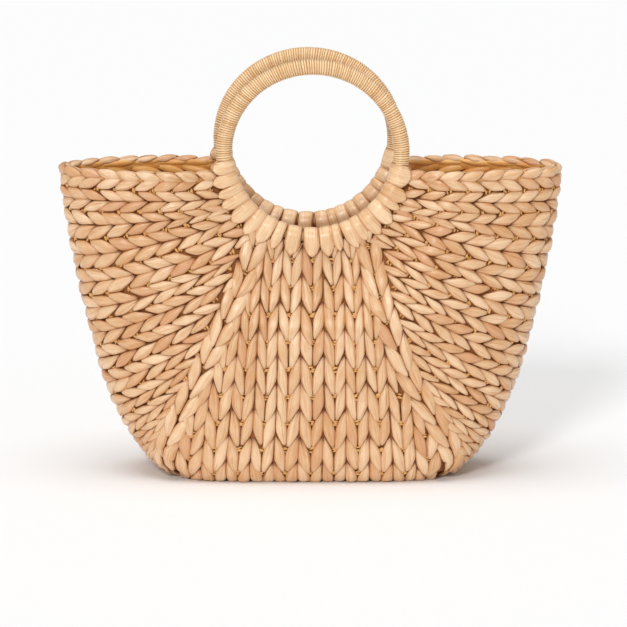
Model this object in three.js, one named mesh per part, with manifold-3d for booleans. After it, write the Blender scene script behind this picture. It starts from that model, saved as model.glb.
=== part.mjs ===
// A straw basket bag: a twined basket, open at the top, whose wall dips round two hoop handles.
// Millimetres, +Z up, the front along -Y, the origin on the floor under the middle of the base.
import * as THREE from "three";
import { mergeVertices } from "three/addons/utils/BufferGeometryUtils.js";
import Module from "manifold-3d";

const wasm = await Module();
wasm.setup();

// Driving sizes
const bodyLength = 429; // over the wall at its top edge, end to end
const bodyDepth = 118; // over the wall at its top edge, front to back
const bodyHeight = 258; // floor to the top edge of the wall
const wall = 8; // strand over stake over strand
const baseThickness = 8;
const ropeWidth = 10;
const ropeHeight = 9.4;
const hoopRadius = 72.5; // middle of the rod, up and down
const hoopOvality = 1.036; // the hoop is this many times as wide as it is high
const hoopRod = 10; // diameter of the rod inside the winding
const hoopInset = 19; // from the widest part of the mouth in to the plane of a hoop
const hoopStagger = 2; // each hoop sits this far off the middle, to opposite sides
const hoopRise = 26; // the hoop's centre above the wall's top edge
const windingThickness = 1.5;
const wrapThickness = 2;
const wrapTail = 12; // longest tail of a wrap below the rod
const seatGap = 0.3; // clearance between pieces that touch on the real bag
const pullBelow = 74; // how far under the hoop the wall bows out to its full depth
const pullBeside = 34; // the same, beside the hoop along the mouth

// Fineness of the facets
const bodySides = 64;
const hoopSteps = 40;
const rodSides = 10;
const ropeSides = 8;
const ropeStep = 13;
const cutterSides = 64;
const trialsPerSide = 8; // points tried along a section for each side that it keeps
const weld = 1e-4; // corners closer than this are one

// Level sections of the basket. rise is a share of bodyHeight, length and depth are shares of the half
// length and half depth of the mouth, and square is the exponent of the section's superellipse.
const SECTIONS = [
  { rise: 0.0, length: 0.53, depth: 0.86, square: 4.4 },
  { rise: 0.015, length: 0.578, depth: 0.94, square: 4.1 },
  { rise: 0.04, length: 0.622, depth: 1.01, square: 3.8 },
  { rise: 0.08, length: 0.672, depth: 1.07, square: 3.5 },
  { rise: 0.14, length: 0.727, depth: 1.105, square: 3.2 },
  { rise: 0.22, length: 0.78, depth: 1.12, square: 3.0 },
  { rise: 0.33, length: 0.834, depth: 1.12, square: 2.8 },
  { rise: 0.46, length: 0.877, depth: 1.1, square: 2.6 },
  { rise: 0.6, length: 0.918, depth: 1.08, square: 2.5 },
  { rise: 0.75, length: 0.955, depth: 1.04, square: 2.4 },
  { rise: 0.88, length: 0.982, depth: 1.015, square: 2.3 },
  { rise: 1.0, length: 1.0, depth: 1.0, square: 2.2 },
];
const OUTER_LEVELS = [0, 0.015, 0.04, 0.08, 0.14, 0.24, 0.36, 0.48, 0.58, 0.67, 0.76, 0.84, 0.92, 1];
const INNER_LEVELS = [1, 0.9, 0.8, 0.7, 0.58, 0.4, 0.22, 0.08, 0];

// Straw wraps that bind a hoop to the wall, from its left side down round to its right side.
// at and width are degrees round the hoop, from its left end, and tail is a share of wrapTail.
const WRAPS = [
  { at: 10, width: 8, tail: 0.45 },
  { at: 18.6, width: 8, tail: 0.7 },
  { at: 26, width: 6.4, tail: 0.72 },
  { at: 33.5, width: 7.8, tail: 0.85 },
  { at: 42.3, width: 9, tail: 0.95 },
  { at: 51, width: 7.8, tail: 1 },
  { at: 59.7, width: 8.4, tail: 1 },
  { at: 68.4, width: 6, tail: 0.95 },
  { at: 77.4, width: 8.6, tail: 1 },
  { at: 88.7, width: 8.6, tail: 1 },
  { at: 99, width: 8, tail: 1 },
  { at: 106, width: 5.6, tail: 0.8 },
  { at: 113.2, width: 7.4, tail: 1 },
  { at: 120.6, width: 6.6, tail: 0.8 },
  { at: 128.8, width: 8, tail: 0.95 },
  { at: 137.8, width: 9, tail: 0.9 },
  { at: 145.4, width: 5.6, tail: 0.7 },
  { at: 153, width: 8.6, tail: 0.72 },
  { at: 165, width: 13, tail: 0.45 },
];
// Stations along a tail, from its tip to the rod. along is the share of the tail still to go, and
// spread the share of the wrap's width.
const TAIL = [
  { along: 1, spread: 0.4 },
  { along: 0.5, spread: 0.94 },
  { along: 0, spread: 1 },
];
const wrapCrown = 0.84; // width of a wrap's outer face as a share of its inner face

// Derived sizes
const hoopHeight = bodyHeight + hoopRise;
const rodRadius = hoopRod / 2;
const wrapSeat = rodRadius + seatGap; // inner radius of what is wound on the rod
const wallEdge = hoopRadius + wrapSeat; // the wall stops this far from the hoop's centre
const longestTip = wallEdge + wrapTail;
const sideTip = wallEdge + wrapTail * WRAPS[1].tail;
const hoopPlane = bodyDepth / 2 - hoopInset;

const degrees = Math.PI / 180;
const lerp = (a, b, t) => a + (b - a) * t;

// A column of SECTIONS at any rise, as a smooth curve through its rows.
function sectionValue(rise, column) {
  const last = SECTIONS.length - 1;
  const passed = SECTIONS.filter((s) => s.rise <= rise).length;
  const k = Math.min(passed, last) - 1;
  const slope = (i) => {
    const a = SECTIONS[Math.max(0, i - 1)];
    const b = SECTIONS[Math.min(last, i + 1)];
    return (b[column] - a[column]) / (b.rise - a.rise);
  };
  const span = SECTIONS[k + 1].rise - SECTIONS[k].rise;
  const t = (rise - SECTIONS[k].rise) / span;
  const from = SECTIONS[k][column];
  const to = SECTIONS[k + 1][column];
  return (
    from * (1 + 2 * t) * (1 - t) ** 2 +
    to * (3 - 2 * t) * t ** 2 +
    span * (slope(k) * t * (1 - t) ** 2 - slope(k + 1) * (1 - t) * t ** 2)
  );
}

// How far the wall at (x, z) is drawn in to the plane of its hoop: 1 at the hoop, 0 where it hangs free.
function pull(x, z, side) {
  const across = (x + side * hoopStagger) / hoopOvality;
  const down = hoopHeight - z;
  const away = Math.hypot(across, down);
  const below = (Math.max(0, down) / away) ** 2;
  const flat = lerp(sideTip, longestTip, below);
  return 1 - THREE.MathUtils.smoothstep(away, flat, flat + lerp(pullBeside, pullBelow, below));
}

// A level section of the basket as evenly spaced points. inset is 0 on the outer skin and wall on the inner.
function sectionRing(rise, inset, z) {
  const length = (bodyLength / 2) * sectionValue(rise, "length") - inset;
  const depth = (bodyDepth / 2) * sectionValue(rise, "depth") - inset;
  const power = 2 / sectionValue(rise, "square");
  const bend = (v) => Math.sign(v) * Math.abs(v) ** power;
  const trials = bodySides * trialsPerSide;
  const outline = Array.from({ length: trials }, (_, i) => {
    const a = (2 * Math.PI * i) / trials;
    return new THREE.Vector2(length * bend(Math.cos(a)), depth * bend(Math.sin(a)));
  });
  return evenPoints(outline, bodySides).map((p) => {
    const side = p.y < 0 ? -1 : 1;
    const hooped = side * (hoopPlane + wall / 2 - inset);
    return new THREE.Vector3(p.x, lerp(p.y, hooped, pull(p.x, z, side)), z);
  });
}

// count points at even steps along a closed outline.
function evenPoints(outline, count) {
  const lengths = [0];
  outline.forEach((p, i) => lengths.push(lengths[i] + p.distanceTo(outline[(i + 1) % outline.length])));
  const step = lengths[outline.length] / count;
  let i = 0;
  return Array.from({ length: count }, (_, n) => {
    while (lengths[i + 1] < n * step) i++;
    const t = (n * step - lengths[i]) / (lengths[i + 1] - lengths[i]);
    return outline[i].clone().lerp(outline[(i + 1) % outline.length], t);
  });
}

// A closed skin over rings of points, each ring as long as the next. Unless the rings join up in a loop,
// a fan closes each end. A ring runs anticlockwise as seen by someone whom the rings come towards.
function loft(rings, loop = false) {
  const sides = rings[0].length;
  const points = rings.flat();
  const index = [];
  const bands = loop ? rings.length : rings.length - 1;
  for (let j = 0; j < bands; j++)
    for (let i = 0; i < sides; i++) {
      const a = j * sides + i;
      const b = j * sides + ((i + 1) % sides);
      const c = ((j + 1) % rings.length) * sides + ((i + 1) % sides);
      const d = ((j + 1) % rings.length) * sides + i;
      index.push(a, b, c, a, c, d);
    }
  if (!loop)
    for (const [ring, first, turn] of [
      [rings[0], 0, -1],
      [rings.at(-1), (rings.length - 1) * sides, 1],
    ]) {
      const hub = points.length;
      points.push(ring.reduce((sum, p) => sum.add(p), new THREE.Vector3()).divideScalar(sides));
      for (let i = 0; i < sides; i++) {
        const next = first + ((i + 1) % sides);
        index.push(...(turn > 0 ? [first + i, next, hub] : [next, first + i, hub]));
      }
    }
  return new THREE.BufferGeometry().setFromPoints(points).setIndex(index);
}

function toSolid(geometry) {
  const bare = geometry.clone();
  bare.deleteAttribute("normal");
  bare.deleteAttribute("uv");
  const merged = mergeVertices(bare, weld);
  return new wasm.Manifold(
    new wasm.Mesh({
      numProp: 3,
      vertProperties: new Float32Array(merged.attributes.position.array),
      triVerts: new Uint32Array(merged.index.array),
    }),
  );
}

function toGeometry(solid) {
  const mesh = solid.getMesh();
  return new THREE.BufferGeometry()
    .setAttribute("position", new THREE.BufferAttribute(new Float32Array(mesh.vertProperties), 3))
    .setIndex(new THREE.BufferAttribute(new Uint32Array(mesh.triVerts), 1));
}

// An oval disc round the axis of the hoop on one side of the bag, its faces near and far from the bag's
// middle plane. A three.js cylinder stands along Y, which is the hoop's own axis here.
function hoopDisc(side, radius, near, far) {
  const disc = new THREE.CylinderGeometry(radius, radius, far - near, cutterSides);
  disc.scale(hoopOvality, 1, 1);
  disc.translate(-side * hoopStagger, (side * (near + far)) / 2, hoopHeight);
  return toSolid(disc);
}

// The twined basket: one shell, its wall cut round each hoop and pressed flat under the wraps' tails.
function basketBody() {
  const rings = [
    ...OUTER_LEVELS.map((rise) => sectionRing(rise, 0, rise * bodyHeight)),
    ...INNER_LEVELS.map((rise) => sectionRing(rise, wall, lerp(baseThickness, bodyHeight, rise))),
  ];
  let solid = toSolid(loft(rings));
  for (const side of [-1, 1]) {
    const outer = hoopPlane + wall / 2;
    const inner = hoopPlane - wall / 2;
    solid = solid
      .subtract(hoopDisc(side, wallEdge, 0, bodyDepth))
      .subtract(hoopDisc(side, longestTip + seatGap, outer, outer + wall))
      .subtract(hoopDisc(side, longestTip + seatGap, inner - wall, inner));
  }
  return toGeometry(solid);
}

// The rope along the mouth on one end of the bag, from hoop to hoop. end is -1 on the left, 1 on the right.
function rimRope(end) {
  const z = bodyHeight + seatGap + ropeHeight / 2;
  const outer = sectionRing(1, 0, bodyHeight);
  const inner = sectionRing(1, wall, bodyHeight);
  const middle = outer
    .map((p, i) => p.clone().lerp(inner[i], 0.5))
    .filter((p) => end * p.x > hoopRadius)
    .sort((a, b) => Math.atan2(a.y, end * a.x) - Math.atan2(b.y, end * b.x));
  const path = new THREE.CatmullRomCurve3(middle);
  const steps = Math.round(path.getLength() / ropeStep);
  const rings = Array.from({ length: steps + 1 }, (_, i) => {
    const at = path.getPointAt(i / steps);
    const along = path.getTangentAt(i / steps);
    const aside = new THREE.Vector3(along.y, -along.x, 0).normalize();
    return Array.from({ length: ropeSides }, (_, k) => {
      const a = (2 * Math.PI * k) / ropeSides;
      const p = at.clone().addScaledVector(aside, (Math.cos(a) * ropeWidth) / 2);
      return p.setZ(z - (Math.sin(a) * ropeHeight) / 2);
    });
  });
  let solid = toSolid(loft(rings));
  for (const side of [-1, 1])
    solid = solid.subtract(hoopDisc(side, sideTip + seatGap, 0, bodyDepth));
  return toGeometry(solid);
}

// A point of the hoop: turn is degrees from the hoop's left end, down round its foot to its right end,
// away is the distance from its axis, and out the distance from its plane, away from the bag's middle.
function hoopPoint(side, turn, away, out) {
  const a = turn * degrees;
  return new THREE.Vector3(
    -side * hoopStagger - hoopOvality * away * Math.cos(a),
    side * (hoopPlane + out),
    hoopHeight - away * Math.sin(a),
  );
}

// Rings of a tube along the hoop's rod, of one radius, at each of the turns.
function rodRings(side, turns, radius) {
  return turns.map((turn) =>
    Array.from({ length: rodSides }, (_, k) => {
      const a = (-side * 2 * Math.PI * k) / rodSides;
      return hoopPoint(side, turn, hoopRadius - radius * Math.cos(a), radius * Math.sin(a));
    }),
  );
}

// The bent rod that each handle is made on, a whole hoop.
function hoopGeometry(side) {
  const turns = Array.from({ length: hoopSteps }, (_, i) => (360 * i) / hoopSteps);
  return loft(rodRings(side, turns, rodRadius), true);
}

// The cord wound on the free part of the hoop, one sleeve from the last wrap over the top to the first.
function windingGeometry(side) {
  const clear = seatGap / hoopRadius / degrees;
  const last = WRAPS.at(-1);
  const first = WRAPS[0];
  const from = last.at + last.width / 2 + clear;
  const to = 360 + first.at - first.width / 2 - clear;
  const steps = Math.round(((to - from) / 360) * hoopSteps);
  const turns = Array.from({ length: steps + 1 }, (_, i) => lerp(from, to, i / steps));
  const outer = rodRings(side, turns, wrapSeat + windingThickness);
  const inner = rodRings(side, turns, wrapSeat).reverse();
  return loft([...outer, ...inner], true);
}

// The line that a wrap follows round the rod and down both faces of the wall, lift off its inner face.
function wrapLine(tail, lift) {
  const seat = wrapSeat + lift;
  const leg = TAIL.map(({ along, spread }) => ({
    away: wallEdge - seatGap + along * (tail + seatGap),
    out: wall / 2 + seatGap + lift,
    spread,
  }));
  const half = rodSides / 2 - 2;
  const bow = Array.from({ length: 2 * half + 1 }, (_, i) => {
    const a = ((i - half) * 2 * Math.PI) / rodSides;
    return { away: hoopRadius - seat * Math.cos(a), out: -seat * Math.sin(a), spread: 1 };
  });
  const far = leg.map((s) => ({ ...s, out: -s.out })).reverse();
  return [...leg, ...bow, ...far];
}

// One straw wrap: a band over the rod whose two tails taper to a point on the faces of the wall.
function wrapGeometry(side, { at, width, tail }) {
  const inner = wrapLine(tail * wrapTail, 0);
  const outer = wrapLine(tail * wrapTail, wrapThickness);
  const rings = inner.map((p, i) => {
    const q = outer[i];
    const half = (width / 2) * p.spread;
    const crown = half * wrapCrown;
    const ring = [
      hoopPoint(side, at - half, p.away, p.out),
      hoopPoint(side, at + half, p.away, p.out),
      hoopPoint(side, at + crown, q.away, q.out),
      hoopPoint(side, at - crown, q.away, q.out),
    ];
    return side < 0 ? ring.reverse() : ring;
  });
  return loft(rings);
}

const straw = (color, roughness) => new THREE.MeshStandardMaterial({ color, roughness, metalness: 0 });
const twinedStraw = straw(0xd9b483, 0.7);
const rimStraw = straw(0xdcb88a, 0.7);
const wrapStraw = straw(0xdfb989, 0.55);
const cord = straw(0xd8ab70, 0.45);
const rod = straw(0xb98a55, 0.7);

const bag = new THREE.Group();
function add(name, geometry, material) {
  const mesh = new THREE.Mesh(geometry, material);
  mesh.name = name;
  mesh.geometry.computeVertexNormals();
  bag.add(mesh);
}

add("basket_body", basketBody(), twinedStraw);
add("rim_rope_left", rimRope(-1), rimStraw);
add("rim_rope_right", rimRope(1), rimStraw);
for (const [name, side] of [
  ["front", -1],
  ["back", 1],
]) {
  add("hoop_" + name, hoopGeometry(side), rod);
  add("winding_" + name, windingGeometry(side), cord);
  WRAPS.forEach((wrap, i) => {
    const number = String(i + 1).padStart(2, "0");
    add("wrap_" + name + "_" + number, wrapGeometry(side, wrap), wrapStraw);
  });
}

export default bag;
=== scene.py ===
# %% [markdown]
# # A straw basket bag, twined strand by strand
#
# The bag is an open basket twined from flat straw, with two round hoop handles bound into dips in its
# front and back walls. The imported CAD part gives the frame: one smooth shell for the basket, two smooth
# ropes on the edge of the mouth, a rod, a sleeve and nineteen straps for each hoop. Here the shell gives
# way to the strands that it stands for, laid on the same surface, so the size hardly changes.

import math

import bpy
import numpy as np
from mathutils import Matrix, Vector


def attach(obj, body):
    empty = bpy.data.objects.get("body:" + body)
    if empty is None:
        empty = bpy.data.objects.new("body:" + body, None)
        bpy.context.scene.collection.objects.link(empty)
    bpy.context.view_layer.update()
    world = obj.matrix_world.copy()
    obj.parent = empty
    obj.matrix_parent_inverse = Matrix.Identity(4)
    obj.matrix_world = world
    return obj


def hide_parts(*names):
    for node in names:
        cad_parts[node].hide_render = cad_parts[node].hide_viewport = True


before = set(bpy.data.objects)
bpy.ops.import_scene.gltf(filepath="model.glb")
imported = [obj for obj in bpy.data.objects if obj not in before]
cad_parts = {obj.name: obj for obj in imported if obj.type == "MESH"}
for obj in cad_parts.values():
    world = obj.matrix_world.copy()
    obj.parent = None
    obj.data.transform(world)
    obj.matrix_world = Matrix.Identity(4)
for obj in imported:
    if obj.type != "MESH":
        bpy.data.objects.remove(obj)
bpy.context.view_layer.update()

# %% [markdown]
# ## Sizes
#
# The driving sizes of the CAD part, in millimetres. The sections give the shares of the full length and
# depth by height, and how square the outline is. They could be read off the CAD mesh, but the strands
# need a smooth surface, and its facets would show.

# %% Sizes
MM = 0.001
BODY_LENGTH = 429.0
BODY_DEPTH = 118.0
BODY_HEIGHT = 258.0
WALL = 8.0
HOOP_RADIUS = 72.5
HOOP_OVALITY = 1.036
HOOP_HEIGHT = 284.0
HOOP_PLANE = 40.0
HOOP_STAGGER = 2.0
WALL_EDGE = 77.8
SIDE_TIP = 86.2
LONGEST_TIP = 89.8
PULL_BELOW = 74.0
PULL_BESIDE = 34.0
FRONT = -1
BACK = 1

SECTIONS = np.array([
    # rise, length, depth, square
    (0.0, 0.53, 0.86, 4.4),
    (0.015, 0.578, 0.94, 4.1),
    (0.04, 0.622, 1.01, 3.8),
    (0.08, 0.672, 1.07, 3.5),
    (0.14, 0.727, 1.105, 3.2),
    (0.22, 0.78, 1.12, 3.0),
    (0.33, 0.834, 1.12, 2.8),
    (0.46, 0.877, 1.1, 2.6),
    (0.6, 0.918, 1.08, 2.5),
    (0.75, 0.955, 1.04, 2.4),
    (0.88, 0.982, 1.015, 2.3),
    (1.0, 1.0, 1.0, 2.2),
])

# %% [markdown]
# ## The surface that the strands lie on
#
# The outline at any height is a superellipse, and near each hoop the wall is pulled to the hoop's plane.
# A cubic through the rows of the table keeps the sides free of corners. Strands that run down find a spot
# by its distance sideways, and strands round the ends by its share of the way round, because the distance
# sideways hardly changes there. Below the floor line both go on under the base.

# %% The surface
def lerp(a, b, share):
    return a + (b - a) * share


def ease(x, start, end):
    share = np.clip((x - start) / (end - start), 0, 1)
    return share * share * (3 - 2 * share)


def unit(directions):
    return directions / np.maximum(np.linalg.norm(directions, axis=-1, keepdims=True), 1e-9)


def section(rise):
    """Length, depth and squareness at a share of the height, by a cubic through the table."""
    rows = SECTIONS[:, 0]
    values = SECTIONS[:, 1:]
    before = np.maximum(np.arange(len(rows)) - 1, 0)
    after = np.minimum(np.arange(len(rows)) + 1, len(rows) - 1)
    slopes = (values[after] - values[before]) / (rows[after] - rows[before])[:, None]
    rise = np.clip(rise, 0, 1)
    row = np.clip(np.searchsorted(rows, rise, side="right") - 1, 0, len(rows) - 2)
    gap = rows[row + 1] - rows[row]
    t = ((rise - rows[row]) / gap)[..., None]
    gap = gap[..., None]
    start = (2 * t**3 - 3 * t**2 + 1) * values[row] + (t**3 - 2 * t**2 + t) * gap * slopes[row]
    end = (3 * t**2 - 2 * t**3) * values[row + 1] + (t**3 - t**2) * gap * slopes[row + 1]
    return start + end


def pulled(x, y, z):
    """The y of a spot once the wall is pulled to the plane of the hoop that it is bound to."""
    side = np.where(y < 0, FRONT, BACK)
    across = (x + side * HOOP_STAGGER) / HOOP_OVALITY
    down = HOOP_HEIGHT - z
    away = np.hypot(across, down)
    below = (np.maximum(0, down) / np.maximum(away, 1e-6)) ** 2
    flat = lerp(SIDE_TIP, LONGEST_TIP, below)
    pull = 1 - ease(away, flat, flat + lerp(PULL_BESIDE, PULL_BELOW, below))
    return lerp(y, side * (HOOP_PLANE + WALL / 2), pull)


NEAR_END = 0.985


def at_side(x, z, side):
    """Spots by distance sideways and height, on the front or the back; below 0 they lie under the base."""
    height = np.maximum(z, 0)
    shares = section(height / BODY_HEIGHT)
    half_length = BODY_LENGTH / 2 * shares[..., 0]
    half_depth = BODY_DEPTH / 2 * shares[..., 1]
    square = shares[..., 2]
    x = np.clip(x, -NEAR_END * half_length, NEAR_END * half_length)
    room = 1 - np.abs(x / half_length) ** square
    y = pulled(x, side * half_depth * room ** (1 / square), height)
    y = side * (np.abs(y) + np.minimum(z, 0))
    return np.stack([x, y, height], axis=-1)


TURNS_PER_QUARTER = 90
FINE_STEPS = 400
BASE_SPINE = 70
TABLE_LEVELS = np.linspace(0, BODY_HEIGHT, 130)


def level_loop(z):
    """One level of the outline from the left end by the front, evenly spaced in each quarter."""
    quarters = []
    for quarter in range(4):
        turn = math.pi + (quarter + 0.5 - 0.5 * np.cos(np.linspace(0, math.pi, FINE_STEPS))) * math.pi / 2
        length_share, depth_share, square = section(z / BODY_HEIGHT)
        c, s = np.cos(turn), np.sin(turn)
        x = BODY_LENGTH / 2 * length_share * np.sign(c) * np.abs(c) ** (2 / square)
        y = BODY_DEPTH / 2 * depth_share * np.sign(s) * np.abs(s) ** (2 / square)
        y = pulled(x, np.where(quarter < 2, -1, 1) * np.abs(y), z)
        length = np.concatenate([[0], np.cumsum(np.hypot(np.diff(x), np.diff(y)))])
        even = np.linspace(0, length[-1], TURNS_PER_QUARTER + 1)[:-1]
        quarters.append(np.stack([np.interp(even, length, x), np.interp(even, length, y)], axis=-1))
    return np.concatenate(quarters)


LOOPS = np.stack([level_loop(z) for z in TABLE_LEVELS])
print("surface table of", LOOPS.shape[0], "levels by", LOOPS.shape[1], "spots")


def at_turn(turn, z):
    """Spots by way round and height: 0 is the left end, 1 the front, 2 the right end."""
    turn = np.asarray(turn, float)
    z = np.asarray(z, float)
    column = np.mod(turn, 4) * TURNS_PER_QUARTER
    row = np.clip(z, 0, BODY_HEIGHT) / BODY_HEIGHT * (len(TABLE_LEVELS) - 1)
    c0 = np.floor(column).astype(int)
    r0 = np.clip(np.floor(row).astype(int), 0, len(TABLE_LEVELS) - 2)
    cs, rs = (column - c0)[..., None], (row - r0)[..., None]
    c0, c1 = c0 % LOOPS.shape[1], (c0 + 1) % LOOPS.shape[1]
    low = lerp(LOOPS[r0, c0], LOOPS[r0, c1], cs)
    high = lerp(LOOPS[r0 + 1, c0], LOOPS[r0 + 1, c1], cs)
    spot = lerp(low, high, rs)
    middle = np.stack([np.clip(spot[..., 0], -BASE_SPINE, BASE_SPINE), 0 * spot[..., 1]], axis=-1)
    inward = middle - spot
    reach = np.maximum(np.linalg.norm(inward, axis=-1, keepdims=True), 1e-6)
    under = np.minimum(np.maximum(-z, 0)[..., None], reach)
    spot = spot + inward / reach * under
    top = np.maximum(z, 0) + 0 * spot[..., 0]
    return np.concatenate([spot, top[..., None]], axis=-1)


def turn_of(x, z):
    """The share of the way from an end to the front's middle, for a distance from the middle."""
    row = int(round(np.clip(z, 0, BODY_HEIGHT) / BODY_HEIGHT * (len(TABLE_LEVELS) - 1)))
    quarter = LOOPS[row, : TURNS_PER_QUARTER + 1, 0]
    return float(np.interp(-abs(x), quarter, np.arange(TURNS_PER_QUARTER + 1) / TURNS_PER_QUARTER))


# %% [markdown]
# ## How the strands are laid out
#
# The basket is twined in three groups of rows. In the middle they run down the front, under the base and
# up the back. On each end they run round it, from the front wall to the back wall, level at the rim and
# steeper lower down. Between the two, a double row runs like a seam from the foot of the hoop to the
# corner of the base. Each double row is a chain of V shapes: its two strands slant towards the line
# between them. The tables give the chains' lines in millimetres, and the rows fill the space between two
# lines, so neighbours touch however it changes.

# %% Tables of the rows
# The lines of the chains down the middle: their distance from the middle at seven heights, the lowest
# of them under the base
MIDDLE_HEIGHTS = np.array([-60, 0, 13, 75, 127, 167, 216.0])
MIDDLE_LINES = np.array([
    (-122, -119, -129, -118, -104, -90, -80),
    (-106, -103, -105, -96, -87, -76, -66),
    (-85, -82, -83, -77, -69, -64, -55),
    (-64, -62, -62, -57, -53, -50, -44),
    (-43, -41, -42, -38, -37, -34, -29),
    (-22, -21, -22, -19, -19, -17, -14),
    (0, 0, 0, 2, 2, 2, 2),
    (21, 20, 20, 21, 21, 20, 17),
    (42, 40, 41, 39, 38, 37, 32),
    (63, 60, 61, 58, 54, 51, 46),
    (83, 81, 81, 76, 70, 65, 57),
    (103, 99, 101, 95, 87, 79, 69),
    (118, 115, 124, 115, 104, 93, 82),
], float)

# The two seams: the line of the V shapes, and half the width of the double row, by height
SEAM_HEIGHTS = np.array([-6, 0, 8, 17, 29, 40, 60, 81, 104, 130, 156, 176, 203, 226.0])
SEAM_LEFT = -np.array([114, 112, 121, 127, 126, 121, 112, 101.5, 90, 78, 67, 57, 48, 42.0])
SEAM_RIGHT = np.array([111, 110, 119, 124, 121, 116, 105, 92, 79.5, 70, 61, 55, 49, 43.0])
SEAM_ROW = 10.2
SEAM_TOP = 226.0
SEAM_FOOT = 7.0
SEAM_REACH = 12

# The chains round an end: the height of a line on the end, then where it meets the hoop or the seam. The
# first line lies above the wall, and only bounds the chain below it.
END_CHAINS = np.array([
    # left end: on the end, out from the middle, height there; then the right end
    (271, 86, 271, 271, 86, 271),
    (251, 84, 252, 249, 84, 253),
    (231, 75, 237, 229, 76, 238),
    (204, 70, 233, 204, 71, 233),
    (178, 60, 221, 178, 63, 221),
    (155, 47, 208, 155.5, 55, 211),
    (132.5, 52, 196, 132.7, 49, 201),
    (110.7, 64, 171, 111.5, 55, 182),
    (89, 72, 147, 91, 61, 158),
    (67, 80, 126, 70, 68, 138),
    (47, 91, 104, 51, 75, 116),
    (29, 101, 83, 33, 86, 94),
    (14, 112, 66, 18, 98, 72),
    (4, 122, 46, 6, 110, 50),
    (-7, 129, 26, -5, 120, 28),
    (-21, 122, 9, -18, 118, 9),
    (-36, 104, -4, -33, 104, -4),
], float)
RISE_BEND = 1.6


# %% [markdown]
# ## A class for each group of rows
#
# A class for a group of rows turns the number of a line and the way along it into spots on the surface.
# The base class works out the course of a row: its middle, the normal, the direction towards its line of
# V shapes, and the width that its neighbours leave it. Steps over a few millimetres give the normal,
# which also rounds the edge of the base. So only the spots are written for each group.

# %% Groups of rows
def length_along(spots):
    return np.concatenate([[0], np.cumsum(np.linalg.norm(np.diff(spots, axis=0), axis=1))])


class Rows:
    """Lines on the surface; spots(line, way) gives points in millimetres."""

    start = 0.0
    end = 1.0
    way_step = 0.008
    line_step = 0.1
    flip = 1
    curl = None
    clear = WALL_EDGE - 6.0
    narrowest = 5.5
    widest = 12.5
    fullness = 1.07
    notch = 0.0
    tuck = 0.0
    overlap = 1.5
    puff = 1.25
    lift = (0.0, 0.0)  # of the two halves of a chain

    def course(self, line, half, steps=420):
        """The middle of a row, with the directions and the width that its strands are laid in."""
        spare = (self.end - self.start) * 0.09
        way = np.linspace(self.start - spare, self.end + spare, steps)
        centre = np.full(steps, line + half * 0.25)
        spot = self.spots(centre, way)
        along = self.spots(centre, way + self.way_step) - self.spots(centre, way - self.way_step)
        beside = self.spots(centre + self.line_step, way) - self.spots(centre - self.line_step, way)
        normal = unit(np.cross(along, beside) * self.flip)
        inner = np.cross(normal, unit(along))
        spread = np.einsum("ij,ij->i", beside, inner) / (2 * self.line_step)
        inner *= (np.sign(spread) * (-half or 1))[:, None]
        width = np.clip(np.abs(spread) * 0.5, self.narrowest, self.widest)
        width = np.convolve(np.pad(width, 12, mode="edge"), np.ones(25) / 25, mode="valid")
        return self.measured(way, spot, normal, inner, width)

    def measured(self, way, spot, normal, inner, width):
        """Lengths along a row, its full length, and what at_length finds along it."""
        length = length_along(spot)
        begin, finish = np.interp([self.start, self.end], way, length)
        return length - begin, finish - begin, np.column_stack([spot, normal, inner, width])


def at_length(course, reach):
    """The spot, normal, direction to the line and width of a row, at lengths along it."""
    length, _, values = course
    found = np.stack([np.interp(reach, length, column) for column in values.T], axis=-1)
    return found[..., :3], found[..., 3:6], found[..., 6:9], found[..., 9:]


class MiddleRows(Rows):
    """Rows down the front or the back: the way runs from 0 at the hoop's foot to 1 under the base."""

    notch = 0.05
    puff = 1.12
    start_height = 216.0
    end_height = -58.0

    def __init__(self, side):
        self.side = side
        self.flip = -side

    def spots(self, line, way):
        height = lerp(self.start_height, self.end_height, way)
        lines = np.stack([np.interp(height, MIDDLE_HEIGHTS, row) for row in MIDDLE_LINES])
        before = np.clip(np.floor(line).astype(int), 0, len(MIDDLE_LINES) - 2)
        number = np.arange(len(before))
        x = lerp(lines[before, number], lines[before + 1, number], line - before)
        return at_side(x, height, self.side)


class SeamRows(Rows):
    """The double row beside the middle: the way runs from 0 at the hoop to 1 at the base."""

    overlap = 1.55
    lift = (0.8, 0.8)

    def __init__(self, side, right):
        self.side = side
        self.flip = -side
        self.line_x = SEAM_RIGHT if right else SEAM_LEFT
        self.outward = 1 if right else -1

    def spots(self, line, way):
        height = lerp(SEAM_TOP, SEAM_FOOT, way)
        x = np.interp(height, SEAM_HEIGHTS, self.line_x)
        above = np.interp(height + SEAM_REACH, SEAM_HEIGHTS, self.line_x)
        below = np.interp(height - SEAM_REACH, SEAM_HEIGHTS, self.line_x)
        lean = (above - below) / (2 * SEAM_REACH)
        size = np.hypot(1, lean)
        narrow = lerp(0.62, 1.0, ease(height, 4.0, 34.0))
        off = line * 2 * SEAM_ROW * np.where(line * self.outward > 0, narrow, 1.08)
        return at_side(x + off / size, height - off * lean / size, self.side)


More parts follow.
